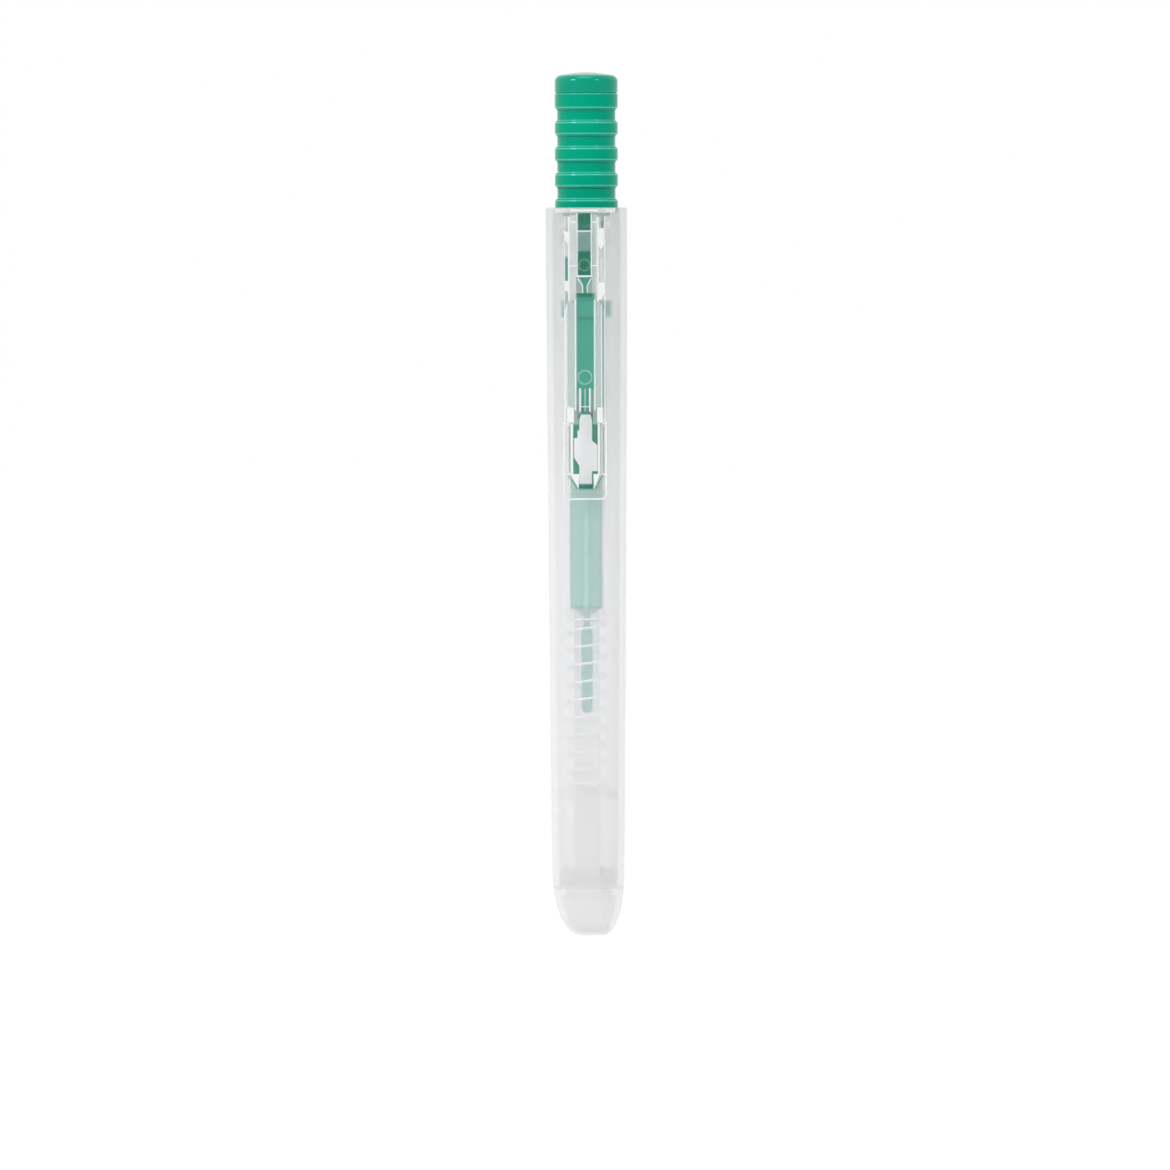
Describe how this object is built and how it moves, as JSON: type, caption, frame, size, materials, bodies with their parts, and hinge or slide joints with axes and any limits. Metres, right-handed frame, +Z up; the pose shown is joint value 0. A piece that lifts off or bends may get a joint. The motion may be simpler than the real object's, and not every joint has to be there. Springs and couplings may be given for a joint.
{
  "type": "correction tape roller",
  "caption": "Pen-shaped push-button correction tape roller with a frosted flat barrel, ribbed knob, clear clip and a sprung tape cartridge that slides out of the nose.",
  "frame": {"origin": "middle of the bottom of the bounding box, on the plane of the nose's end", "axes": "+Z up along the barrel towards the knob, +X to the right seen from the front, -Y towards the clip"},
  "size_m": [0.0134, 0.0248, 0.1437],
  "materials": {
    "frosted_shell": "frosted translucent polypropylene",
    "clear_plastic": "clear moulded polystyrene",
    "green_plastic": "glossy green ABS",
    "white_plastic": "white acetal",
    "grey_plastic": "matt light grey",
    "spring_steel": "bright drawn wire",
    "tape_white": "matt white correction film",
    "liner_paper": "glassine liner",
    "ring_rubber": "matt"
  },
  "bodies": {
    "housing": {"barrel": "frosted_shell", "nose_cap": "frosted_shell", "spring_seat": "frosted_shell", "return_spring": "spring_steel", "clip_pin": "clear_plastic", "catch_pin": "clear_plastic"},
    "slider": {"knob_sleeve": "green_plastic", "knob_cap": "green_plastic", "push_rod": "green_plastic", "spring_washer": "clear_plastic", "cartridge_left": "clear_plastic", "cartridge_right": "clear_plastic", "guide_posts": "clear_plastic", "supply_axle": "clear_plastic", "idler_axle": "clear_plastic", "takeup_axle": "clear_plastic", "head_frame": "white_plastic", "head_axle": "spring_steel", "tape_ribbon": "tape_white"},
    "supply": {"supply_reel": "white_plastic", "supply_tape": "tape_white", "clutch_ring": "ring_rubber"},
    "idler": {"idler_gear": "white_plastic"},
    "takeup": {"takeup_reel": "white_plastic", "takeup_tape": "liner_paper"},
    "roller": {"head_roller": "grey_plastic"},
    "clip": {"clip": "clear_plastic"},
    "catch": {"catch": "white_plastic"}
  },
  "joints": [
    {"name": "button_slide", "type": "slide", "parent": "housing", "child": "slider", "axis": [0, 0, -1], "range_m": [0, 0.014], "stiffness_N_per_m": 100, "springref_m": -0.005, "deforming": ["return_spring"]},
    {"name": "supply_spin", "type": "hinge", "parent": "slider", "child": "supply", "pos_m": [0, 0.00345, 0.091], "axis": [1, 0, 0], "continuous": true},
    {"name": "idler_spin", "type": "hinge", "parent": "slider", "child": "idler", "pos_m": [0, 0.00345, 0.0811], "axis": [1, 0, 0], "continuous": true},
    {"name": "takeup_spin", "type": "hinge", "parent": "slider", "child": "takeup", "pos_m": [0, 0.00345, 0.073], "axis": [1, 0, 0], "continuous": true},
    {"name": "roller_spin", "type": "hinge", "parent": "slider", "child": "roller", "pos_m": [0, 0.00345, 0.0103], "axis": [1, 0, 0], "continuous": true},
    {"name": "clip_hinge", "type": "hinge", "parent": "housing", "child": "clip", "pos_m": [0, -0.0106, 0.1175], "axis": [-1, 0, 0], "range_deg": [0, 6], "stiffness_Nm_per_rad": 0.05, "springref_deg": -5.73},
    {"name": "catch_rock", "type": "hinge", "parent": "housing", "child": "catch", "pos_m": [0, -0.00875, 0.081], "axis": [1, 0, 0], "range_deg": [-2.5, 2.5], "stiffness_Nm_per_rad": 0.002}
  ],
  "couplings": [
    {"joint": "idler_spin", "follows": "supply_spin", "ratio": -2},
    {"joint": "takeup_spin", "follows": "supply_spin", "ratio": 1.375},
    {"joint": "roller_spin", "follows": "supply_spin", "ratio": 8.1176}
  ]
}
